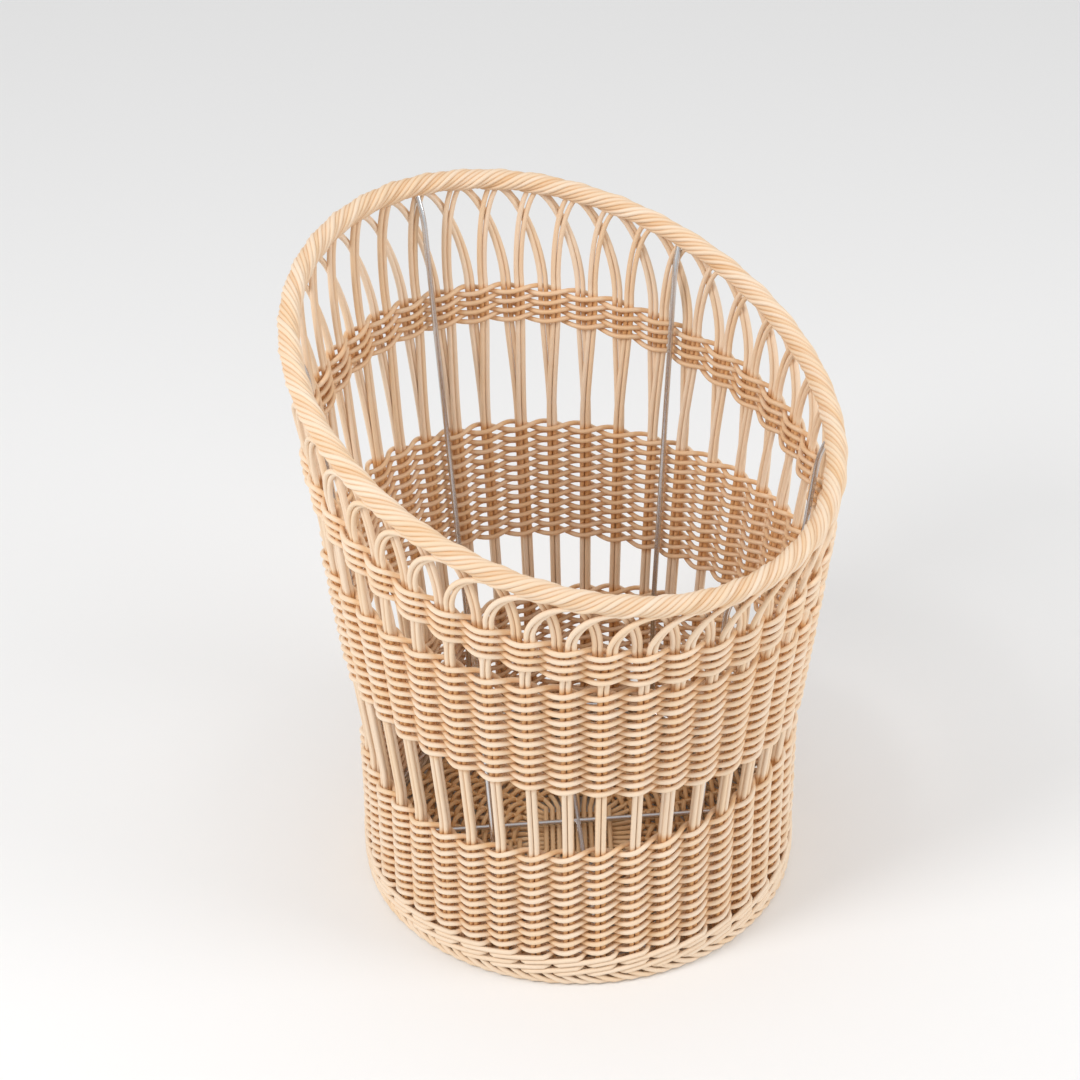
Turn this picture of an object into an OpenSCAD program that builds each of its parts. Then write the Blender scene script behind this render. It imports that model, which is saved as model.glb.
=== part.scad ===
// Round bread basket for long loaves, woven from round plastic cane over a wire frame.
// The foot stands on the floor at Z = 0, its centre is the origin, and the rim leans.
// Directions are in degrees round the axis: 0 is +X, 90 is +Y, and the front is -Y.

/* [Wall] */
// Outside diameter of the wall at the foot
foot_d = 320; // [260:5:400]
// Thickness of the woven wall
wall_t = 12.5; // [10.5:0.5:16]
// Height at the axis of the top of the lower weave, where the wall starts to flare
lower_h = 124; // [100:1:140]
// Tilt of the top of the lower weave
lower_tilt = 4; // [0:0.5:5]
// Direction in which the lower weave is lowest
lower_dir = -161; // [-180:1:180]
// Angle at which the wall flares out above the lower weave
flare = 6.7; // [0:0.1:9]

/* [Middle weave] */
// Height at the axis of the underside of the middle weave
middle_z = 174; // [165:1:185]
// Height of the middle weave
middle_h = 96; // [70:1:110]
// Tilt of the middle weave
middle_tilt = 6; // [0:0.5:8]
// Direction in which the middle weave is lowest
middle_dir = 7; // [-180:1:180]

/* [Collar weave] */
// Height of the underside of the collar weave on its low side
collar_low = 266.1; // [259:0.1:271]
// Height of the collar weave
collar_h = 28; // [20:1:30]
// Tilt of the collar weave
collar_tilt = 14.7; // [13:0.1:17]
// Direction in which the collar weave is lowest
collar_dir = -43; // [-60:1:-30]

/* [Rim] */
// Height of the middle of the rope rim on its low side
rim_low = 328.5; // [326.5:0.5:407]
// Tilt of the rim
rim_tilt = 21.4; // [18:0.1:23.5]
// Direction in which the rim is lowest
rim_dir = -46; // [-60:1:-30]
// Thickness of the rope rim
rope_d = 15.5; // [14:0.5:20]
// Distance of the rope's middle inside the outer face of the wall
rope_inset = 8; // [6:0.5:9]
// Height of the arches under the rope
arch_h = 21.5; // [18:0.5:24]

/* [Cane] */
// Diameter of one cane strand
strand_d = 3.7; // [3:0.1:4.2]
// Number of side stakes, each a pair of strands
stake_count = 42; // [36:6:42]
// Direction of the first side stake
first_stake = -93.7; // [-98:0.1:-88]

/* [Foot and base] */
// Height of the plaited foot border
foot_h = 16; // [14:1:20]
// Width of the plaited foot border
foot_w = 15; // [14:0.5:20]
// Height of the underside of the woven base
base_z = 3; // [2:0.5:4]
// Thickness of the woven base
base_t = 11.1; // [10:0.1:14]
// Radius of the crossing of the spokes, where the base weave starts
crossing_r = 44; // [40:1:60]

/* [Wire frame] */
// Diameter of the steel wires
wire_d = 4; // [3:0.5:5]
// Number of upright wires
upright_count = 6; // [6:1:6]

/* [Clearances] */
// Gap between pieces that lie beside each other
gap = 0.3; // [0.2:0.05:0.4]

/* [Hidden] */
$fn = 48;
// Sides of a bent bar's section, and steps along an arch.
bar_sides = 8;
arch_steps = 5;
// Sides of the rope's section, and steps round the rim.
rope_sides = 14;
rim_steps = 80;
STAKE_NAMES = [for (i = [1:stake_count]) str("side_stake_", i)];
WIRE_NAMES = [for (i = [1:upright_count]) str("upright_wire_", i)];

cane = [0.89, 0.79, 0.63];
shaded_cane = [0.83, 0.71, 0.53];
steel = [0.72, 0.73, 0.75];

foot_r = foot_d / 2;
slope = tan(flare);
stake_r = foot_r - wall_t / 2;
pitch = 360 / stake_count;
// The two strands of a stake stand corner to corner, one outside and one inside.
pair_step = strand_d + gap;
channel = pair_step + strand_d + 2 * gap;
// Slot and knife lengths that reach past everything they cut.
reach = foot_d * 2;

// Base levels.
spoke_z = base_z + base_t / 2;
base_top = base_z + base_t;
base_r = foot_r - foot_w - gap;
crossing_half = crossing_r * 0.55;
spoke_step = strand_d * 1.3;
spokes_lower = floor(stake_count / 4);
spokes_upper = stake_count / 2 - spokes_lower;

// Wire frame places.
wire_r = wire_d / 2;
wire_inset = wall_t + gap + wire_r;
ring_r = foot_r - wire_inset;
ring_z = max(base_top, foot_h) + gap + wire_r;
// The uprights stand halfway between stakes, and the first is 2.5 stakes back.
wires_from = first_stake - pitch * 2.5;

// Heights at the axis of the planes of the collar and the rim.
collar_z = axis_z(collar_low, collar_tilt, 0);
rim_h = axis_z(rim_low, rim_tilt, rope_inset);

// Rim ellipse: where a plane tilted by rim_tilt cuts the cone on which the rope lies.
rope_r = rope_d / 2;
rim_high_z = cut_z(rim_h, rim_tilt, rim_dir, rim_dir + 180, rope_inset);
rim_low_r = wall_r(rim_low) - rope_inset;
rim_high_r = wall_r(rim_high_z) - rope_inset;
rim_long = (rim_low_r + rim_high_r) / 2 / cos(rim_tilt);
rim_short = sqrt(rim_low_r * rim_high_r);

// Outside radius of the wall at height z.
function wall_r(z) = foot_r + max(0, z - lower_h) * slope;

// Height at which the flared wall, "inset" inside its outer face, meets the plane that
// passes z0 on the axis and falls by "tilt" towards "dir", seen in direction a.
function cut_z(z0, tilt, dir, a, inset) =
    let (fall = tan(tilt) * cos(a - dir))
    (z0 - fall * (foot_r - inset - slope * lower_h)) / (1 + fall * slope);

// Height at the axis of a plane that meets that wall at height z on its low side.
function axis_z(z, tilt, inset) =
    z + tan(tilt) * (foot_r - inset + slope * (z - lower_h));

// Direction of stake i, counted from 1.
function stake_dir(i) = first_stake + (i - 1) * pitch;

// Vector of length 1 along v.
function unit(v) = v / norm(v);

// Direction of a run of points at point k, halfway between its two stretches.
function heading(points, k) =
    let (last = len(points) - 1)
    let (ahead = k < last ? unit(points[k + 1] - points[k]) : [0, 0, 0])
    let (behind = k > 0 ? unit(points[k] - points[k - 1]) : [0, 0, 0])
    unit(ahead + behind);

// Corner s of the section at point k. "side" is any direction across the run.
function corner(points, k, s, d, side) =
    let (along = heading(points, k))
    let (across = unit(side - (side * along) * along))
    let (turn = s * 360 / bar_sides)
    points[k] + (cos(turn) * across + sin(turn) * cross(along, across)) * d / 2;

// A bent round bar through a list of points.
module bent_bar(points, d, side) {
    n = bar_sides;
    last = len(points) - 1;
    corners = [
        for (k = [0:last])
            for (s = [0:n - 1])
                corner(points, k, s, d, side)
    ];
    skin = [
        for (k = [0:last - 1])
            for (s = [0:n - 1])
                let (t = (s + 1) % n)
                [k * n + s, (k + 1) * n + s, (k + 1) * n + t, k * n + t]
    ];
    ends = [
        [for (s = [0:n - 1]) s],
        [for (s = [0:n - 1]) last * n + n - 1 - s]
    ];
    polyhedron(points = corners, faces = concat(skin, ends));
}

// A straight round bar from one point to another.
module straight_bar(from, to, d) {
    way = to - from;
    translate(from)
        rotate([0, acos(way.z / norm(way)), atan2(way.y, way.x)])
            cylinder(h = norm(way), d = d);
}

// The space between two planes tilted alike: from z0 to z0 + height on the axis.
module tilted_slab(z0, height, tilt, dir) {
    rotate([0, 0, dir])
        translate([0, 0, z0])
            rotate([0, tilt, 0])
                translate([-reach / 2, -reach / 2, 0])
                    cube([reach, reach, height * cos(tilt)]);
}

// The whole wall from z_from up to z_to, outside face to inside face.
module wall(z_from, z_to) {
    rotate_extrude($fn = 180)
        polygon([
            [wall_r(z_from) - wall_t, z_from],
            [wall_r(z_from), z_from],
            if (z_from < lower_h && z_to > lower_h) [foot_r, lower_h],
            [wall_r(z_to), z_to],
            [wall_r(z_to) - wall_t, z_to],
            if (z_from < lower_h && z_to > lower_h) [foot_r - wall_t, lower_h]
        ]);
}

// Frame of the flared wall at direction a: Z runs up the wall, X points outwards.
module on_flare(a) {
    rotate([0, 0, a])
        translate([stake_r, 0, lower_h])
            rotate([0, flare, 0])
                children();
}

// Slots for the stakes in the flared part of the wall.
module flared_slots() {
    for (i = [1:stake_count])
        on_flare(stake_dir(i))
            translate([-channel / 2, -channel / 2, 0])
                cube([channel, channel, reach]);
}

// Slots for the stakes in the upright part of the wall.
module upright_slots() {
    for (i = [1:stake_count])
        rotate([0, 0, stake_dir(i)])
            translate([stake_r - channel / 2, -channel / 2, 0])
                cube([channel, channel, lower_h + gap]);
}

// Plaited border on which the basket stands.
module foot_border() {
    edge = foot_w / 5;
    color(cane)
        rotate_extrude($fn = 180)
            polygon([
                [foot_r - foot_w, edge],
                [foot_r - foot_w + edge, 0],
                [foot_r - edge, 0],
                [foot_r, edge],
                [foot_r, foot_h],
                [foot_r - foot_w, foot_h]
            ]);
}

// One base spoke: straight across the crossing, then fanned out to both sides.
module base_spoke(offset, fan, lift) {
    bend_r = crossing_r - strand_d;
    right = [
        [crossing_half, offset, spoke_z + lift],
        [bend_r * cos(fan), bend_r * sin(fan), spoke_z],
        [(base_r - gap) * cos(fan), (base_r - gap) * sin(fan), spoke_z]
    ];
    left = [for (k = [2:-1:0]) [-right[k].x, right[k].y, right[k].z]];
    bent_bar(concat(left, right), strand_d, [0, 0, 1]);
}

// One layer of parallel spokes, fanned out evenly.
module spoke_layer(count, lift) {
    for (i = [1:count]) {
        place = i - (count + 1) / 2;
        base_spoke(place * spoke_step, place * pitch, lift);
    }
}

// Lower layer of the base spokes, across the basket.
module base_spokes_lower() {
    color(shaded_cane)
        spoke_layer(spokes_lower, -pair_step / 2);
}

// Upper layer of the base spokes, front to back.
module base_spokes_upper() {
    color(shaded_cane)
        rotate([0, 0, 90])
            spoke_layer(spokes_upper, pair_step / 2);
}

// Woven rounds of the base, with a channel for each spoke.
module base_weave() {
    lower_fan = (spokes_lower - 1) / 2;
    color(shaded_cane)
        difference() {
            translate([0, 0, base_z])
                difference() {
                    cylinder(h = base_t, r = base_r, $fn = 180);
                    translate([0, 0, -gap])
                        cylinder(h = base_t + 2 * gap, r = crossing_r, $fn = 96);
                }
            for (i = [0:stake_count - 1])
                rotate([0, 0, (i - lower_fan) * pitch])
                    translate([crossing_r - gap, 0, spoke_z])
                        rotate([0, 90, 0])
                            cylinder(h = base_r, d = strand_d + 2 * gap);
        }
}

// Upright band of weaving above the foot.
module lower_weave() {
    top = lower_h + foot_r * tan(lower_tilt) * 1.2;
    color(cane)
        difference() {
            intersection() {
                wall(foot_h + gap, top);
                tilted_slab(lower_h - reach, reach, lower_tilt, lower_dir);
            }
            upright_slots();
            flared_slots();
        }
}

// Band of weaving on the flared wall, between two planes tilted alike.
module flared_weave(z0, height, tilt, dir) {
    lowest = cut_z(z0, tilt, dir, dir, 0) - wall_t;
    highest = cut_z(z0 + height, tilt, dir, dir + 180, 0) + wall_t;
    difference() {
        intersection() {
            wall(lowest, highest);
            tilted_slab(z0, height, tilt, dir);
        }
        flared_slots();
    }
}

// Broad band of weaving halfway up.
module middle_weave() {
    color(cane)
        flared_weave(middle_z, middle_h, middle_tilt, middle_dir);
}

// Narrow band of weaving below the arches.
module collar_weave() {
    color(cane)
        flared_weave(collar_z, collar_h, collar_tilt, collar_dir);
}

// Corner s of a round section at step k along the rim's ellipse, in the rim's plane.
function rim_corner(k, s, d, sides) =
    let (t = k * 360 / rim_steps)
    let (turn = s * 360 / sides)
    let (out = unit([rim_short * cos(t), rim_long * sin(t), 0]))
    [rim_long * cos(t), rim_short * sin(t), 0]
        + (cos(turn) * out + sin(turn) * [0, 0, 1]) * d / 2;

// A closed round bar of diameter d along the rim's ellipse.
module rim_ring(d, sides) {
    corners = [
        for (k = [0:rim_steps - 1])
            for (s = [0:sides - 1])
                rim_corner(k, s, d, sides)
    ];
    skin = [
        for (k = [0:rim_steps - 1])
            for (s = [0:sides - 1])
                let (l = (k + 1) % rim_steps)
                let (t = (s + 1) % sides)
                [k * sides + s, k * sides + t, l * sides + t, l * sides + s]
    ];
    rotate([0, 0, rim_dir])
        translate([
            (rim_low_r - rim_high_r) / 2,
            0,
            (rim_low + rim_high_z) / 2
        ])
            rotate([0, rim_tilt, 0])
                polyhedron(points = corners, faces = skin);
}

// Twisted rope that closes the rim over the rim wire.
module rim_border() {
    color(cane)
        difference() {
            rim_ring(rope_d, rope_sides);
            rim_ring(wire_d + 4 * gap, bar_sides);
            for (i = [1:upright_count])
                upright_hole(i);
        }
}

// Steel ring inside the rope.
module rim_ring_wire() {
    color(steel)
        rim_ring(wire_d, bar_sides);
}

// Steel ring on the base, inside the wall.
module base_ring_wire() {
    color(steel)
        translate([0, 0, ring_z])
            rotate_extrude($fn = 180)
                translate([ring_r, 0])
                    circle(d = wire_d);
}

// Steel cross that ties the base ring.
module base_cross_wire() {
    arm = ring_r - wire_r - gap;
    color(steel)
        translate([0, 0, ring_z])
            rotate([0, 0, wires_from + pitch * stake_count / upright_count / 2])
                for (turn = [0, 90])
                    rotate([0, 0, turn])
                        straight_bar([-arm, 0, 0], [arm, 0, 0], wire_d);
}

// Direction of upright wire i, halfway between two stakes.
function upright_dir(i) = wires_from + (i - 1) * 360 / upright_count;

// Middle of the rope in direction a, as distance from the axis and height.
function rope_at(a) =
    let (z = cut_z(rim_h, rim_tilt, rim_dir, a, rope_inset))
    [wall_r(z) - rope_inset, 0, z];

// Point where upright wire i leaves the wall and bends out to the rope.
function upright_bend(i) =
    let (z = rope_at(upright_dir(i)).z - rope_d * 1.4)
    [wall_r(z) - wire_inset / cos(flare), 0, z];

// Point where upright wire i ends, against the ring in the rope.
function upright_tip(i) =
    let (rope = rope_at(upright_dir(i)))
    rope - unit(rope - upright_bend(i)) * (wire_r + 2 * gap);

// Hole in the rope for upright wire i.
module upright_hole(i) {
    bend = upright_bend(i);
    rotate([0, 0, upright_dir(i)])
        straight_bar(bend, upright_tip(i) + unit(upright_tip(i) - bend) * wire_r, wire_d + 2 * gap);
}

// Upright wire i: up the inside of the wall and into the rope.
module upright_wire(i) {
    knee = [foot_r - wire_inset / cos(flare), 0, lower_h];
    foot = [knee.x, 0, ring_z + wire_r + gap];
    color(steel)
        rotate([0, 0, upright_dir(i)])
            bent_bar([foot, knee, upright_bend(i), upright_tip(i)], wire_d, [0, 1, 0]);
}

// One strand of a side stake in direction a. side is 1 for the outer strand, which
// arches forwards round the basket, and -1 for the inner strand, which arches back.
module stake_strand(a, side) {
    across = side * pair_step / 2;
    near_r = rope_at(a).x;
    arch_w = near_r * pitch * PI / 180 - 1.3 * strand_d;
    // Direction of the arch's centre, and the slope of the rope along the arch.
    mid_a = a + side * (arch_w + strand_d / 2) / near_r * 180 / PI;
    rise = rope_at(mid_a + side).z - rope_at(mid_a).z;
    lean = atan2(rise, rope_at(mid_a).x * PI / 180);
    // The arch is a quarter of an ellipse that touches the underside of the rope.
    shoulder = sqrt(pow(arch_h, 2) + pow(arch_w * tan(lean), 2));
    last_turn = atan2(arch_h, arch_w * tan(lean));
    drop = shoulder + (strand_d / 2 + gap + rope_r) / cos(lean);
    spring = (rope_at(mid_a).z - drop - lower_h) / cos(flare);
    // The arch turns inwards a little, so that it follows the round of the wall.
    inwards = side * arch_w / near_r * 90 / PI;
    arch = [
        for (k = [0:arch_steps])
            let (turn = k / arch_steps * last_turn)
            let (over = arch_w * (1 - cos(turn)))
            let (up = spring + arch_h * sin(turn))
            let (out = -over * sin(inwards) * side)
            let (sideways = over * cos(inwards) * side)
            flare_point(across + out, across + sideways, up)
    ];
    rotate([0, 0, a])
        bent_bar(concat([
            [stake_r + across, across, foot_h + gap],
            flare_point(across, across, 0)
        ], arch), strand_d, [1, 0, 0]);
}

// Point in the frame of the flared wall: outwards, sideways and up along the wall.
function flare_point(out, sideways, up) = [
    stake_r + out * cos(flare) + up * sin(flare),
    sideways,
    lower_h - out * sin(flare) + up * cos(flare)
];

// Side stake i: two strands from the foot, through the weaves, into the arches.
module side_stake(i) {
    color(cane) {
        stake_strand(stake_dir(i), 1);
        stake_strand(stake_dir(i), -1);
    }
}

foot_border();
base_weave();
base_spokes_lower();
base_spokes_upper();
lower_weave();
middle_weave();
collar_weave();
rim_border();
base_ring_wire();
base_cross_wire();
rim_ring_wire();
for (i = [1:upright_count])
    upright_wire(i);
for (i = [1:stake_count])
    side_stake(i);
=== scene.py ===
# %% [markdown]
# # A woven bread basket
# The basket stands on a plaited foot, and twined bands of plastic cane run round its
# wall with open bands between them. The stakes bow over into arches below a thick
# rope, which closes the leaning mouth over a frame of steel wire.
# Every strand is modelled here as a real strand that goes over and under its
# neighbours, because a picture of weaving wrapped on a smooth wall looks flat from
# the side and shows no light through its gaps.

# %% Load the frame
import math
import random

import bmesh
import bpy
from mathutils import Matrix, Vector


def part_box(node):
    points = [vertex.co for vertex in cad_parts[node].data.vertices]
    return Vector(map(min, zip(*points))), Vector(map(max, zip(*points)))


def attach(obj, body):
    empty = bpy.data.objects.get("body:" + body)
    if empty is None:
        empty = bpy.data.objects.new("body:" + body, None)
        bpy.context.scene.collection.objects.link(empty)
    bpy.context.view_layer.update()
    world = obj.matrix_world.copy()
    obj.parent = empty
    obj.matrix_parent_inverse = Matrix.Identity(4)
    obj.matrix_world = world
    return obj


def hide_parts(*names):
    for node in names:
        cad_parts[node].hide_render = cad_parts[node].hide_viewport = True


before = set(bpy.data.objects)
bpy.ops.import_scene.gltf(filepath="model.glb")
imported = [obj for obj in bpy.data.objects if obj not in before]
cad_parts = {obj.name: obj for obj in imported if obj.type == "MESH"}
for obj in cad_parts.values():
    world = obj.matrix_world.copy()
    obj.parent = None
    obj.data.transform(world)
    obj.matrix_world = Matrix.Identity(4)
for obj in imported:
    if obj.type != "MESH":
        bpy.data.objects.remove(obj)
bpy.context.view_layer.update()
print("CAD nodes:", len(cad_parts))

# %% [markdown]
# ## Sizes
# Blender works in metres, and `mm` turns the basket's own millimetres into metres.
# The foot's size comes from the frame. The tilts of the bands are the basket's own
# design values, the same as those the solid model was drawn from.

# %% Sizes
mm = 0.001
TURN = 2 * math.pi
foot_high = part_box("foot_border")[1]
FOOT_R = foot_high.x
WALL_T = 12.5 * mm
CANE = 3.7 * mm
WIRE = 4 * mm
STAKES = 42
PITCH = TURN / STAKES
FIRST_STAKE = math.radians(-93.7)
LOWER_TOP = 124 * mm
FLARE = math.tan(math.radians(6.7))
ROPE_R = 7.75 * mm
ROPE_INSET = 8 * mm

# Each level is a plane: its height on the axis, its tilt and the direction it falls in.
LOWER_EDGE = (LOWER_TOP, math.radians(4), math.radians(-161))
MIDDLE_EDGE = (174 * mm, math.radians(6), math.radians(7))
MIDDLE_H = 96 * mm
COLLAR_EDGE = (312.46 * mm, math.radians(14.7), math.radians(-43))
COLLAR_H = 28 * mm
RIM = (397.48 * mm, math.radians(21.4), math.radians(-46))
chance = random.Random(7)
print("foot radius", round(FOOT_R / mm, 1), "mm, foot height", round(foot_high.z / mm, 1), "mm")

# %% [markdown]
# ## Where things are on the wall
# A point of the wall is easiest to name by three numbers: the stake it is at, how far
# it stands out from the middle of the wall, and its height. Stake numbers may be
# fractions, so 2.5 is halfway between stakes 2 and 3. Two short functions turn these
# into places in space, and every strand of the basket goes through them.

# %% Points on the wall


def wall_r(z):
    """Outside radius of the wall at height z."""
    return FOOT_R + max(0.0, z - LOWER_TOP) * FLARE


def level(plane, stake, lift=0.0, inset=0.0):
    """Height at which a tilted plane cuts the flared wall at a stake."""
    height, tilt, lowest = plane
    fall = math.tan(tilt) * math.cos(direction(stake) - lowest)
    return (height + lift - fall * (FOOT_R - inset - FLARE * LOWER_TOP)) / (1 + fall * FLARE)


def direction(stake):
    """Direction of a stake round the axis."""
    return FIRST_STAKE + stake * PITCH


def on_wall(stake, out, z, aside=0.0):
    """A point at a stake: out from the middle of the wall, and aside along it."""
    r = wall_r(z) - WALL_T / 2 + out
    a = direction(stake) + aside / r
    return Vector((r * math.cos(a), r * math.sin(a), z))


def smooth(part):
    """A soft step from 0 to 1."""
    part = min(1.0, max(0.0, part))
    return part * part * (3 - 2 * part)


print("rim height, front and back:", [round(level(RIM, s) / mm) for s in (0, 21)])

# %% [markdown]
# ## Strands
# A strand of cane is a curve with a round bevel, which is the quickest way to a clean
# tube of one thickness. A whole set of strands goes into one curve and is then made a
# mesh, so that each strand can carry two numbers of its own for the material: `tone`,
# which differs from strand to strand, and `shade`, which is 1 where a strand runs
# hidden behind the others.

# %% Strands
SIDES = 8


class Strand:
    """Points of one strand, with a shade for each point."""

    def __init__(self, points, shades=None, closed=False, radius=CANE / 2):
        self.points = points
        self.shades = shades or [0.0] * len(points)
        self.closed = closed
        self.radius = radius
        self.tone = chance.random()


def tubes(name, strands, sides=SIDES):
    """One mesh object that holds all the strands as round tubes."""
    curve = bpy.data.curves.new(name, "CURVE")
    curve.dimensions = "3D"
    curve.twist_mode = "MINIMUM"
    curve.bevel_depth = 1.0
    curve.bevel_resolution = (sides - 4) // 2
    for strand in strands:
        spline = curve.splines.new("POLY")
        spline.points.add(len(strand.points) - 1)
        for point, place in zip(spline.points, strand.points):
            point.co = (*place, 1.0)
            point.radius = strand.radius
        spline.use_cyclic_u = strand.closed
    draft = bpy.data.objects.new(name + "_draft", curve)
    bpy.context.scene.collection.objects.link(draft)
    bpy.context.view_layer.update()
    graph = bpy.context.evaluated_depsgraph_get()
    mesh = bpy.data.meshes.new_from_object(draft.evaluated_get(graph))
    bpy.data.objects.remove(draft)
    mesh.name = name
    mark_strands(mesh, strands, sides)
    close_ends(mesh, sides)
    mesh.shade_smooth()
    piece = bpy.data.objects.new(name, mesh)
    bpy.context.scene.collection.objects.link(piece)
    return piece


def mark_strands(mesh, strands, sides):
    """Write each strand's tone and shade on its own vertices."""
    tone = mesh.attributes.new("tone", "FLOAT", "POINT")
    shade = mesh.attributes.new("shade", "FLOAT", "POINT")
    tones = []
    shades = []
    for strand in strands:
        for value in strand.shades:
            tones += [strand.tone] * sides
            shades += [value] * sides
    assert len(tones) == len(mesh.vertices), (mesh.name, len(tones), len(mesh.vertices))
    tone.data.foreach_set("value", tones)
    shade.data.foreach_set("value", shades)


def close_ends(mesh, sides):
    """Cap the open ends, and keep the caps flat with a sharp edge round them."""
    work = bmesh.new()
    work.from_mesh(mesh)
    open_edges = [edge for edge in work.edges if edge.is_boundary]
    caps = bmesh.ops.holes_fill(work, edges=open_edges, sides=sides)["faces"]
    for edge in open_edges:
        edge.smooth = False
    bmesh.ops.recalc_face_normals(work, faces=caps)
    work.to_mesh(mesh)
    work.free()


def finish_piece(piece, slot, material, *nodes):
    """Give a piece its material, and say what it stands for."""
    piece.data.materials.clear()
    piece.data.materials.append(material)
    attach(piece, "root")
    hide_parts(*nodes)
    print(piece.name, len(piece.data.polygons), "faces for", ", ".join(nodes))


# %% [markdown]
# ## Shader maths
# Materials are node graphs. This small class wraps a socket, so that `mask * 0.5 + 1`
# adds the Math nodes by itself, and `node` makes any other node.

# %% Shader maths


class Value:
    """A socket that takes part in Python expressions."""

    def __init__(self, paint, socket):
        self.paint = paint
        self.socket = socket

    def _with(self, operation, first, second):
        made = self.paint.node("ShaderNodeMath", {"operation": operation}, {0: first, 1: second})
        return made.out("Value")

    def __add__(self, other):
        return self._with("ADD", self, other)

    def __radd__(self, other):
        return self._with("ADD", other, self)

    def __sub__(self, other):
        return self._with("SUBTRACT", self, other)

    def __rsub__(self, other):
        return self._with("SUBTRACT", other, self)

    def __mul__(self, other):
        return self._with("MULTIPLY", self, other)

    def __rmul__(self, other):
        return self._with("MULTIPLY", other, self)


class Made:
    """A node that has just been made."""

    def __init__(self, paint, node):
        self.paint = paint
        self.node = node

    def out(self, name):
        return Value(self.paint, self.node.outputs[name])


class Paint:
    """A new material, and the one method that adds nodes to it."""

    def __init__(self, name):
        self.material = bpy.data.materials.new(name)
        self.material.use_nodes = True
        self.tree = self.material.node_tree
        self.shader = self.tree.nodes["Principled BSDF"]

    def node(self, kind, settings=None, inputs=None):
        node = self.tree.nodes.new(kind)
        for key, value in (settings or {}).items():
            setattr(node, key, value)
        for key, value in (inputs or {}).items():
            self.plug(node.inputs[key], value)
        return Made(self, node)

    def plug(self, socket, value):
        if isinstance(value, Value):
            self.tree.links.new(value.socket, socket)
        else:
            socket.default_value = value

    def set(self, **sockets):
        for name, value in sockets.items():
            self.plug(self.shader.inputs[name.replace("_", " ")], value)

    def mix(self, factor, first, second):
        """Mix two colours; sockets 6 and 7 are the colour inputs of a Mix node."""
        made = self.node("ShaderNodeMix", {"data_type": "RGBA"},
                         {0: factor, 6: first, 7: second})
        return Value(self, made.node.outputs[2])


# %% [markdown]
# ## Cane
# The cane is extruded plastic, cream and satin. Its tone differs a little from strand
# to strand, with faint clouds along it and a fine grain. Where a strand runs behind
# others it looks warmer and browner, because the light that reaches it has already
# bounced off cream cane. Real bounces do part of this; the `shade` attribute helps
# them, at no render cost.

# %% Cane
TAN = (0.94, 0.82, 0.66)
SHADE_DEPTH = 0.8


def cane_material(name, light, painted_shade, roughness):
    """Satin plastic cane. light is its colour in the open; the next colour is painted shade for
    crevices.
    """
    paint = Paint(name)
    place = paint.node("ShaderNodeTexCoord").out("Object")
    tone = paint.node("ShaderNodeAttribute", {"attribute_name": "tone"}).out("Fac")
    shade = paint.node("ShaderNodeAttribute", {"attribute_name": "shade"}).out("Fac")
    cloud = paint.node("ShaderNodeTexNoise", {}, {"Vector": place, "Scale": 38.0, "Detail": 3.0})
    cloud = cloud.out("Fac")
    grain = paint.node("ShaderNodeTexNoise", {}, {"Vector": place, "Scale": 900.0, "Detail": 2.0})
    grain = grain.out("Fac")
    tan = tuple(c * f for c, f in zip(light, TAN)) + (1.0,)
    pale = (*light, 1.0)
    colour = paint.mix(tone * 0.6 + cloud * 0.5 - 0.05, pale, tan)
    colour = paint.mix(shade * SHADE_DEPTH, colour, (*painted_shade, 1.0))
    bump = paint.node("ShaderNodeBump", {}, {"Height": grain, "Strength": 0.12, "Distance": 0.0002})
    paint.set(Base_Color=colour, Roughness=roughness + grain * 0.12 - 0.06)
    paint.set(Normal=bump.out("Normal"))
    paint.shader.inputs["IOR"].default_value = 1.42
    return paint.material


# The third colour in each call is painted shade, which the shade attribute mixes in where strands
# are hidden and in crevices.
cane = cane_material("cream_cane", (0.90, 0.745, 0.59), (0.66, 0.30, 0.055), 0.48)
# base_cane is a darker, more orange copy of the cream cane, used for the base.
base_cane = cane_material("base_cane", (0.82, 0.60, 0.37), (0.58, 0.27, 0.06), 0.50)
print("materials:", cane.name, base_cane.name)

# %% [markdown]
# ## Steel
# The wires are bright drawn steel: a metal with low roughness that varies a little, so
# that its reflections aren't perfectly clean.

# %% Steel


def steel_material():
    """Bright drawn steel with faint smudges."""
    paint = Paint("drawn_steel")
    place = paint.node("ShaderNodeTexCoord").out("Object")
    smudge = paint.node("ShaderNodeTexNoise", {}, {"Vector": place, "Scale": 120.0}).out("Fac")
    paint.set(Base_Color=(0.66, 0.67, 0.69, 1.0), Metallic=1.0, Roughness=smudge * 0.2 + 0.12)
    return paint.material


steel = steel_material()
print("material:", steel.name)

# %% [markdown]
# ## Twined rows
# The bands are twined: two strands go round together, and between every two stakes
# they swap places, so that one passes in front of a stake and the other behind it. A
# cosine gives the in and out of a strand, and a sine of the same angle gives the small
# rise and fall with which the two cross without touching.

# %% Twined rows
STEPS = 8
OVER = 1.38 * CANE
CROSS = 0.58 * CANE
HIDDEN_SHADE = 0.5
WALE_TOP = 27 * mm
ROWS = 12
COLLAR_ROWS = 4

# The middle of the wall is fully shaded up to CORE, and from OPEN outwards not at all.
CORE = 0.5 * mm
OPEN = 4.6 * mm
CORE_SHADE = 0.7


def wobble(size):
    """Small random values, one for each stake."""
    return [chance.uniform(-size, size) for _ in range(STAKES)]


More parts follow.
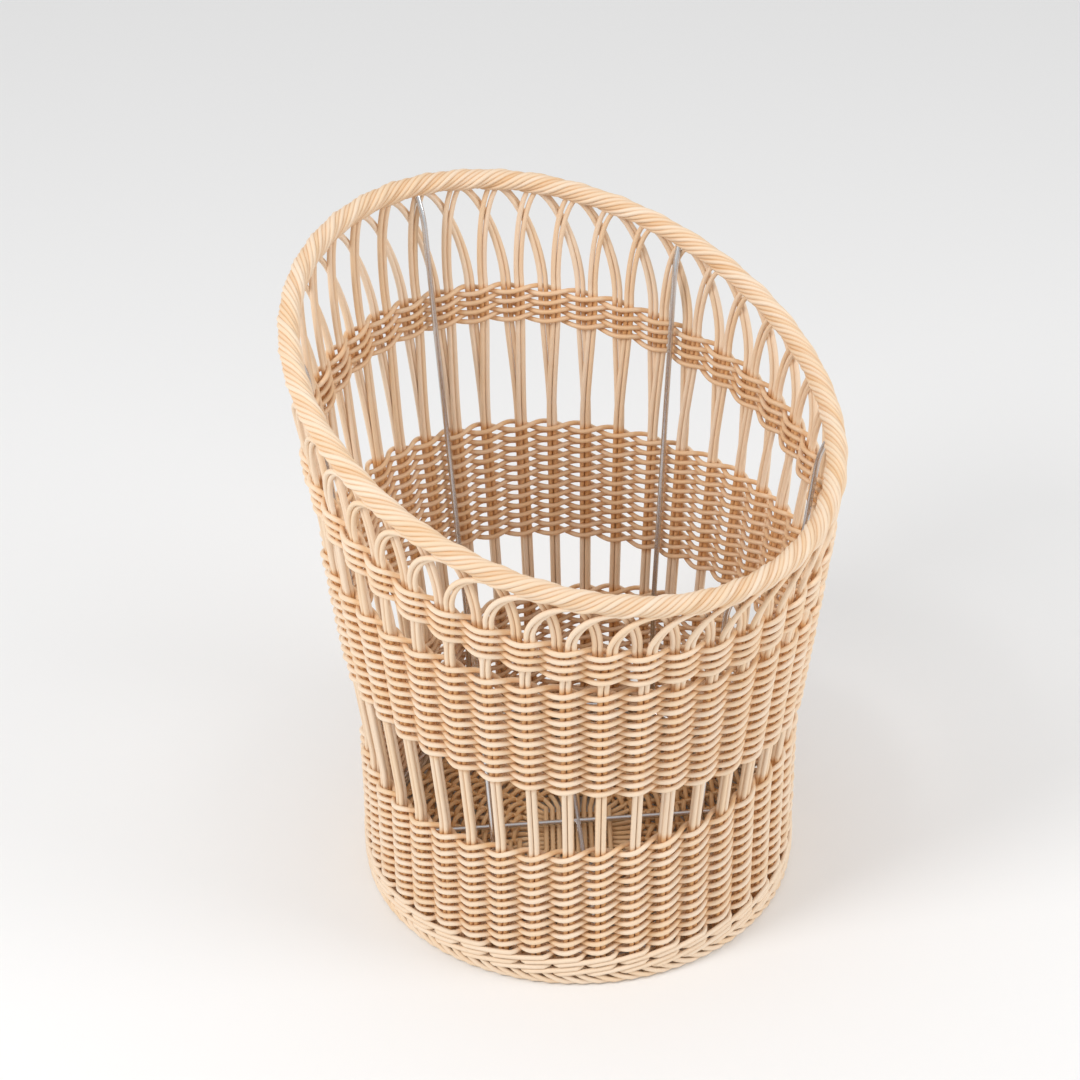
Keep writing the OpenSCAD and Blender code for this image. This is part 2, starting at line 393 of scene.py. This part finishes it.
def twined_row(height_at):
    """The two strands of one row. height_at gives the row's height at a stake."""
    rise = wobble(0.3 * mm)
    swell = wobble(0.25 * mm)
    strands = []
    for side in (1, -1):
        points = []
        shades = []
        for k in range(STAKES * STEPS):
            stake = k / STEPS
            wave = side * math.cos(math.pi * stake)
            cross = side * math.sin(math.pi * stake)
            near = round(stake) % STAKES
            z = height_at(stake) + cross * CROSS + rise[near] * (1 - abs(cross))
            points.append(on_wall(stake, wave * (OVER + swell[near]), z))
            shades.append(HIDDEN_SHADE * max(0.0, -wave) ** 0.7)
        strands.append(Strand(points, shades, closed=True))
    return strands


def twined_band(rows, bottom, top):
    """Rows evenly spaced between two edges."""
    strands = []
    for row in range(rows):
        part = (row + 0.5) / rows
        strands += twined_row(lambda s, p=part: bottom(s) + p * (top(s) - bottom(s)))
    return strands


def lower_edge(stake):
    return level(LOWER_EDGE, stake)


def middle_bottom(stake):
    return level(MIDDLE_EDGE, stake)


def middle_top(stake):
    return level(MIDDLE_EDGE, stake, MIDDLE_H)


def collar_bottom(stake):
    return level(COLLAR_EDGE, stake)


def collar_top(stake):
    return level(COLLAR_EDGE, stake, COLLAR_H)


def shade_wall(piece):
    """Deepen the shade towards the middle of the wall, where little light comes in."""
    for vertex, value in zip(piece.data.vertices, piece.data.attributes["shade"].data):
        x, y, z = vertex.co
        depth = abs(math.hypot(x, y) - wall_r(z) + WALL_T / 2)
        painted_shade = 1.0 - smooth((depth - CORE) / (OPEN - CORE))
        value.value = max(value.value, CORE_SHADE * painted_shade)


lower_rows = tubes("lower_weave_rows", twined_band(ROWS, lambda s: WALE_TOP, lower_edge))
middle_rows = tubes("middle_weave_rows", twined_band(ROWS, middle_bottom, middle_top))
collar_rows = tubes("collar_weave_rows", twined_band(COLLAR_ROWS, collar_bottom, collar_top))
for rows in (lower_rows, middle_rows, collar_rows):
    shade_wall(rows)
    print(rows.name, len(rows.data.vertices), "points")

# %% [markdown]
# ## Wale
# The two rows above the foot are a wale: three strands that each pass in front of two
# stakes and behind the next, rising as they go, which makes the long slanting strokes.

# %% Wale
CLIMB = 3.9 * mm
WALE_ROWS = (14.0 * mm, 22.4 * mm)


def wale_row(z):
    """The three strands of one wale row around height z."""
    strands = []
    for start in range(3):
        points = []
        shades = []
        for k in range(STAKES * STEPS):
            stake = k / STEPS
            phase = (stake - start) % 3 - 1.5
            behind = smooth((abs(phase) - 0.75) / 0.5)
            if phase < -1:
                rise = -3 - 2 * phase
            elif phase > 1:
                rise = 3 - 2 * phase
            else:
                rise = phase
            points.append(on_wall(stake, OVER * (1.1 - 2.1 * behind), z + rise * CLIMB))
            shades.append(HIDDEN_SHADE * behind)
        strands.append(Strand(points, shades, closed=True))
    return strands


wale_rows = tubes("lower_weave_wale", wale_row(WALE_ROWS[0]) + wale_row(WALE_ROWS[1]))
shade_wall(wale_rows)
print(wale_rows.name, len(wale_rows.data.vertices), "points")

# %% [markdown]
# ## Stakes
# At each stake four strands stand in two pairs, one pair behind the other. The outer
# pair arches forwards below the rope, comes up on its outside and winds round it. The
# inner pair bows back behind the arch before it and ends inside the rope. At the foot
# both pairs turn under and are plaited into the border.

# %% Stakes
# The rope makes one turn in ROPE_TURN stake pitches. Its strands' middles lie at
# HELIX_R, and its grooves are shaded from the surface down to GROOVE.
ROPE_TURN = 2.4
GROOVE = 5.6 * mm
HELIX_R = ROPE_R - CANE / 2
ROPE_OUT = WALL_T / 2 - ROPE_INSET

# The pairs stand LAYER outside and inside the middle of the wall, start at STAKE_FOOT
# and fan out sideways by FAN up to SPRING above the collar, where the arches begin.
LAYER = 0.42 * CANE
STAKE_FOOT = 18 * mm
BAND_SHADE = 0.85
FAN = 4.7 * mm
SPRING = 1.5 * mm

# An arch goes ARCH_REACH pitches forwards, and ARCH_POWER makes its shoulders fuller.
ARCH_STEPS = 12
ARCH_REACH = 1.33
ARCH_POWER = 1.18
ARCH_BULGE = 1.6 * mm
WRAP_STEPS = 34
HELIX_STEPS = 28

# On the rope a strand speeds up over EASE pitches, is tucked in by TUCK round TUCK_AT
# and sinks in over its last END_SINK pitches. UNEVEN varies its depth in the rope.
EASE = 0.5
TUCK = 0.13
TUCK_AT = 0.35
TUCK_WIDTH = 0.16
END_SINK = 0.35
UNEVEN = 0.04

# The inner pair ends its bow BACK_REACH pitches away, and the second turn of a strand
# in the rope starts FILL_START pitches on.
BACK_REACH = -0.7
BACK_SHADE = 0.15
LAST_ANGLE = math.radians(68)
FILL_START = 0.7


def rope_z(stake):
    """Height of the middle of the rope at a stake."""
    return level(RIM, stake, 0.0, ROPE_INSET)


def on_rope(stake, angle, radius=HELIX_R):
    """A point of the rope: angle 0 is its outer side and 90 degrees its top."""
    z = rope_z(stake)
    r = wall_r(z) - ROPE_INSET + radius * math.cos(angle)
    a = direction(stake)
    return Vector((r * math.cos(a), r * math.sin(a), z + radius * math.sin(angle)))


def in_bands(stake, z):
    """1 where a stake is hidden in a band of weaving, and 0 in the open."""
    bands = ((0.0, lower_edge(stake)), (middle_bottom(stake), middle_top(stake)),
             (collar_bottom(stake), collar_top(stake)))
    return 1.0 if any(low + mm < z < high - mm for low, high in bands) else 0.0


def shaft(stake, out, low_aside, top_aside, z_to):
    """The upright part of a strand, which fans out in the collar."""
    z_from = STAKE_FOOT
    fan_from = middle_top(stake)
    count = round((z_to - z_from) / (5 * mm))
    points = []
    shades = []
    for k in range(count + 1):
        z = z_from + (z_to - z_from) * k / count
        fan = smooth((z - fan_from) / (z_to - fan_from))
        points.append(on_wall(stake, out, z, low_aside + (top_aside - low_aside) * fan))
        shades.append(BAND_SHADE * in_bands(stake, z))
    return points, shades


def arch_strand(stake, low_aside, place):
    """An outer strand: up the wall, forwards in an arch, and once round the rope."""
    spring = collar_top(stake) + SPRING
    top_aside = FAN + (place - 0.5) * 1.08 * CANE
    points, shades = shaft(stake, LAYER, low_aside, top_aside, spring)
    start = top_aside / (wall_r(spring) * PITCH)
    angle = math.radians(-48 - 30 * place)
    end_out = ROPE_OUT + HELIX_R * math.cos(angle)
    for k in range(1, ARCH_STEPS + 1):
        t = k / ARCH_STEPS * math.pi / 2
        along = stake + start + (ARCH_REACH - start) * (1 - math.cos(t) ** ARCH_POWER)
        end_z = rope_z(along) + HELIX_R * math.sin(angle)
        z = spring + (end_z - spring) * math.sin(t) ** ARCH_POWER
        out = LAYER + (end_out - LAYER) * math.sin(t) + ARCH_BULGE * math.sin(2 * t)
        points.append(on_wall(along, out, z))
        shades.append(0.0)
    depth = 1.0 - 0.13 * place + chance.uniform(-UNEVEN, UNEVEN)
    length = ROPE_TURN + EASE / 2
    for k in range(1, WRAP_STEPS + 1):
        along = k / WRAP_STEPS * length
        turned = along * along / (2 * EASE) if along < EASE else along - EASE / 2
        tuck = TUCK * math.exp(-((along - TUCK_AT) / TUCK_WIDTH) ** 2)
        sink = 0.5 * smooth((along - length + END_SINK) / END_SINK)
        radius = HELIX_R * (depth - tuck - sink)
        turn = angle + turned / ROPE_TURN * TURN
        points.append(on_rope(stake + ARCH_REACH + along, turn, radius))
        shades.append(0.4 * tuck / TUCK)
    return Strand(points, shades)


def backward_strand(stake, low_aside, place):
    """An inner strand: up the wall, back behind the last arch, and once round the rope."""
    spring = collar_top(stake) + SPRING
    top_aside = -FAN + (place - 0.5) * CANE
    points, shades = shaft(stake, -LAYER, low_aside, top_aside, spring)
    start = top_aside / (wall_r(spring) * PITCH)
    reach = BACK_REACH + place / 5
    depth = 0.93 + 0.13 * place + chance.uniform(-UNEVEN, UNEVEN)
    for k in range(1, ARCH_STEPS + 1):
        t = k / ARCH_STEPS * LAST_ANGLE
        part = (1 - math.cos(t)) / (1 - math.cos(LAST_ANGLE))
        along = stake + start + (reach - start) * part
        end_z = rope_z(along) - HELIX_R
        z = spring + (end_z - spring) * math.sin(t) / math.sin(LAST_ANGLE)
        points.append(on_wall(along, -LAYER + (ROPE_OUT + LAYER) * (t / LAST_ANGLE) ** 2, z))
        shades.append(BACK_SHADE)
    for k in range(1, HELIX_STEPS + 1):
        back = k / HELIX_STEPS * ROPE_TURN
        angle = -math.pi / 2 - back / ROPE_TURN * TURN
        swell = 1.0 + (depth - 1.0) * smooth(back / 0.6)
        sink = 0.25 * smooth((back - ROPE_TURN + 0.12) / 0.12)
        points.append(on_rope(stake + reach - back, angle, HELIX_R * (swell - sink)))
        shades.append(0.0)
    return Strand(points, shades)


def filling_strand(stake):
    """A strand's second turn round the rope, which starts and ends inside it."""
    points = []
    for k in range(HELIX_STEPS + 1):
        along = k / HELIX_STEPS * ROPE_TURN
        ends = smooth(1 - along / 0.3) + smooth((along - ROPE_TURN + 0.3) / 0.3)
        radius = HELIX_R * (0.94 - 0.41 * ends)
        turn = along / ROPE_TURN * TURN - math.pi / 2
        points.append(on_rope(stake + FILL_START + along, turn, radius))
    return Strand(points)


def shade_rope(piece):
    """Deepen the shade in the grooves of the rope, by the distance from its middle."""
    shade = piece.data.attributes["shade"]
    for vertex, value in zip(piece.data.vertices, shade.data):
        x, y, z = vertex.co
        stake = (math.atan2(y, x) - FIRST_STAKE) / PITCH
        middle = on_rope(stake, 0.0, 0.0)
        away = math.hypot(math.hypot(x, y) - math.hypot(middle.x, middle.y), z - middle.z)
        if away < ROPE_R:
            painted_shade = 1.0 - smooth((away - GROOVE) / (ROPE_R - GROOVE))
            value.value = max(value.value, painted_shade)


for number in range(STAKES):
    jitter = chance.uniform(-0.8, 0.8) * mm
    behind = chance.uniform(-0.35, 0.35) * CANE
    strands = []
    for place in (0, 1):
        beside = (place - 0.5) * 1.03 * CANE
        strands.append(arch_strand(number, beside + jitter, place))
        strands.append(backward_strand(number, beside + jitter + behind, place))
    name = f"side_stake_{number + 1}"
    piece = tubes(name + "_cane", strands)
    shade_rope(piece)
    finish_piece(piece, "cane", cane, name)

rope = tubes("rim_rope", [filling_strand(number) for number in range(STAKES)])
shade_rope(rope)

# %% [markdown]
# ## Foot
# The stake ends turn down and outwards, run along the floor past the next stakes and
# tuck in under them, which gives the foot its slanting plait.

# %% Foot
# Each step of the plait: pitches along, then millimetres out and up.
PLAIT = [(0.0, 0.0, 17.0), (0.2, 2.6, 12.0), (0.45, 4.3, 8.6), (0.75, 4.9, 5.2),
         (1.0, 4.3, 3.0), (1.3, 2.4, 2.0), (1.65, 0.0, 1.9), (2.0, -2.6, 1.9)]
PARTS = 3
LAG = 0.34


def plait_strand(stake, aside, side, lag):
    """One strand of the foot. side is 1 outside the foot and -1 inside it."""
    points = []
    for step in range((len(PLAIT) - 1) * PARTS + 1):
        first = PLAIT[step // PARTS]
        second = PLAIT[min(step // PARTS + 1, len(PLAIT) - 1)]
        part = step % PARTS / PARTS
        along, out, z = [a + (b - a) * part for a, b in zip(first, second)]
        late = lag * smooth(along / 0.25)
        points.append(on_wall(stake + along + late, side * out * mm, z * mm, aside))
    return Strand(points)


plait = []
for number in range(STAKES):
    for side in (1, -1):
        for place in (0, 1):
            plait.append(plait_strand(number, (place - 0.5) * CANE, side, LAG * place))
foot = tubes("foot_plait", plait)
print(foot.name, len(plait), "strands")

# %% [markdown]
# ## Cane pieces
# Every piece rides on the root body, gets its material and hides the solid it stands for.
# The two pieces of the lower weave stand for the same solid.

# %% Cane pieces
finish_piece(lower_rows, "cane", cane, "lower_weave")
finish_piece(wale_rows, "cane", cane, "lower_weave")
finish_piece(middle_rows, "cane", cane, "middle_weave")
finish_piece(collar_rows, "cane", cane, "collar_weave")
finish_piece(rope, "cane", cane, "rim_border")
finish_piece(foot, "cane", cane, "foot_border")

# %% [markdown]
# ## Base
# The base is hidden by the loaves in use, but it is there: spokes cross in the middle
# in two layers and fan out, and twined rounds hold them.

# %% Base
base_low, base_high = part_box("base_weave")
BASE_Z = (base_low.z + base_high.z) / 2
BASE_R = base_high.x
CROSSING_R = 44 * mm
PAIRED_TO = 84 * mm
ROUND_STEP = 2.05 * CANE
SPOKE_STEP = 1.3 * CANE
SPOKE_LIFT = 0.55 * CANE


def base_point(a, r, up):
    """A point of the base, up from its middle plane."""
    return Vector((r * math.cos(a), r * math.sin(a), BASE_Z + up))


def base_round(r, group):
    """One twined round of the base, over groups of spokes."""
    count = STAKES // group
    laps = 1 if count % 2 == 0 else 2
    strands = []
    for side in (1, -1)[: 3 - laps]:
        points = []
        shades = []
        for k in range(count * laps * STEPS):
            u = k / STEPS
            wave = side * math.cos(math.pi * u)
            cross = side * math.sin(math.pi * u)
            a = FIRST_STAKE + (u * group + (group - 1) / 2) * PITCH
            points.append(base_point(a, r + cross * CROSS, wave * 0.95 * CANE))
            shades.append(0.2 + 0.6 * (1 - abs(wave)))
        strands.append(Strand(points, shades, closed=True))
    return strands


rounds = []
round_r = CROSSING_R + CANE
while round_r < BASE_R - CANE:
    rounds += base_round(round_r, 2 if round_r < PAIRED_TO else 1)
    round_r += ROUND_STEP
base = tubes("base_rounds", rounds)
finish_piece(base, "base_cane", base_cane, "base_weave")


def spoke_layer(count, start, lift):
    """Parallel spokes across the middle, fanned out evenly at both ends."""
    strands = []
    for i in range(count):
        place = i - (count - 1) / 2
        offset = place * SPOKE_STEP
        fan = place * PITCH
        half = [(0.0, offset, lift), (CROSSING_R * 0.55, offset, lift)]
        for r in (CROSSING_R - CANE, CROSSING_R + 12 * mm, (CROSSING_R + BASE_R) / 2, BASE_R):
            half.append((r * math.cos(fan), r * math.sin(fan), 0.0))
        way = [(-x, y, z) for x, y, z in reversed(half[1:])] + half
        turn = Matrix.Rotation(start, 4, "Z")
        strands.append(Strand([turn @ Vector((x, y, BASE_Z + z)) for x, y, z in way]))
    return strands


lower_spokes = tubes("base_spokes_lower_cane", spoke_layer(10, 0.0, -SPOKE_LIFT))
upper_spokes = tubes("base_spokes_upper_cane", spoke_layer(11, math.pi / 2, SPOKE_LIFT))
finish_piece(lower_spokes, "base_cane", base_cane, "base_spokes_lower")
finish_piece(upper_spokes, "base_cane", base_cane, "base_spokes_upper")

# %% [markdown]
# ## Steel frame
# Six upright wires run up the inside of the wall from a ring on the base to the ring
# in the rope. They bend at the flare and again below the rope.

# %% Steel frame
WIRE_IN = WALL_T / 2 + 2.6 * mm
WIRE_BEND = 21.7 * mm
WIRES = 6
FIRST_WIRE = -2.5
WIRE_SIDES = 12
ring_low, ring_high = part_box("base_ring_wire")
RING_R = ring_high.x - WIRE / 2
RING_Z = (ring_low.z + ring_high.z) / 2


def rounded(points, rounding=8 * mm, steps=5):
    """Replace each corner of a line by a short curve."""
    way = [points[0]]
    for before, corner, after in zip(points, points[1:], points[2:]):
        a = corner + (before - corner).normalized() * rounding
        b = corner + (after - corner).normalized() * rounding
        for k in range(steps + 1):
            t = k / steps
            way.append(a * (1 - t) ** 2 + corner * 2 * t * (1 - t) + b * t * t)
    return way + [points[-1]]


def upright(stake):
    """The way of an upright wire, from the base ring to the ring in the rope."""
    top = rope_z(stake)
    return rounded([
        on_wall(stake, -WIRE_IN, RING_Z + WIRE / 2),
        on_wall(stake, -WIRE_IN, LOWER_TOP),
        on_wall(stake, -WIRE_IN, top - WIRE_BEND),
        on_wall(stake, ROPE_OUT, top)
    ])


def steel_piece(name, node, points, closed=False):
    """One wire, which stands for the solid of the same place."""
    wire = Strand(points, closed=closed, radius=WIRE / 2)
    finish_piece(tubes(name, [wire], WIRE_SIDES), "wire_steel", steel, node)


for number in range(WIRES):
    name = f"upright_wire_{number + 1}"
    steel_piece(name + "_steel", name, upright(number * STAKES / WIRES + FIRST_WIRE))

ring = []
for k in range(120):
    a = k * TURN / 120
    ring.append(Vector((RING_R * math.cos(a), RING_R * math.sin(a), RING_Z)))
steel_piece("base_ring_steel", "base_ring_wire", ring, closed=True)
rim_ring = [on_wall(k / 4, ROPE_OUT, rope_z(k / 4)) for k in range(STAKES * 4)]
steel_piece("rim_ring_steel", "rim_ring_wire", rim_ring, closed=True)
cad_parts["base_cross_wire"].data.materials.clear()
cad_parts["base_cross_wire"].data.materials.append(steel)

# %% [markdown]
# ## Studio
# A pale floor, a large soft light above and to the left, a weaker one to the right and
# an even white sky give soft shadows and still leave the crevices dark.

# %% Studio
floor_mesh = bmesh.new()
bmesh.ops.create_grid(floor_mesh, x_segments=1, y_segments=1, size=6.0)
floor_data = bpy.data.meshes.new("floor")
floor_mesh.to_mesh(floor_data)
floor_mesh.free()
floor = bpy.data.objects.new("floor", floor_data)
bpy.context.scene.collection.objects.link(floor)
floor_paint = Paint("pale_floor")
floor_paint.set(Base_Color=(0.88, 0.88, 0.88, 1.0), Roughness=0.9)
floor_data.materials.append(floor_paint.material)

bpy.context.scene.view_settings.view_transform = "Standard"
world = bpy.data.worlds.new("sky")
bpy.context.scene.world = world
world.use_nodes = True
world.node_tree.nodes["Background"].inputs["Color"].default_value = (1.0, 1.0, 1.0, 1.0)
world.node_tree.nodes["Background"].inputs["Strength"].default_value = 0.72


def soft_light(name, place, size, watts):
    """A round area light that points at the middle of the basket."""
    data = bpy.data.lights.new(name, "AREA")
    data.shape = "DISK"
    data.size = size
    data.energy = watts
    light = bpy.data.objects.new(name, data)
    light.location = place
    aim = Vector((0, 0, 0.25)) - Vector(place)
    light.rotation_euler = aim.to_track_quat("-Z", "Y").to_euler()
    bpy.context.scene.collection.objects.link(light)


soft_light("key", (-1.5, -1.0, 1.8), 0.8, 23)
soft_light("fill", (1.7, -0.6, 1.3), 1.0, 12)
print("floor and two lights, size of the floor:", [round(d, 1) for d in floor.dimensions])

# %% [markdown]
# ## Camera
# The camera looks down at the front of the basket from about two metres away.

# %% Camera
camera_data = bpy.data.cameras.new("camera")
camera_data.sensor_width = 36.0
camera_data.lens = 86.7
camera = bpy.data.objects.new("camera", camera_data)
down = math.radians(33.87)
roll = math.radians(0.89)
look = Matrix.Rotation(math.pi / 2 - down, 4, "X") @ Matrix.Rotation(-roll, 4, "Z")
camera.matrix_world = Matrix.Translation((-0.0255, -1.5149, 1.2914)) @ look
bpy.context.scene.collection.objects.link(camera)
bpy.context.scene.camera = camera
print("camera at", [round(c, 3) for c in camera.matrix_world.translation])
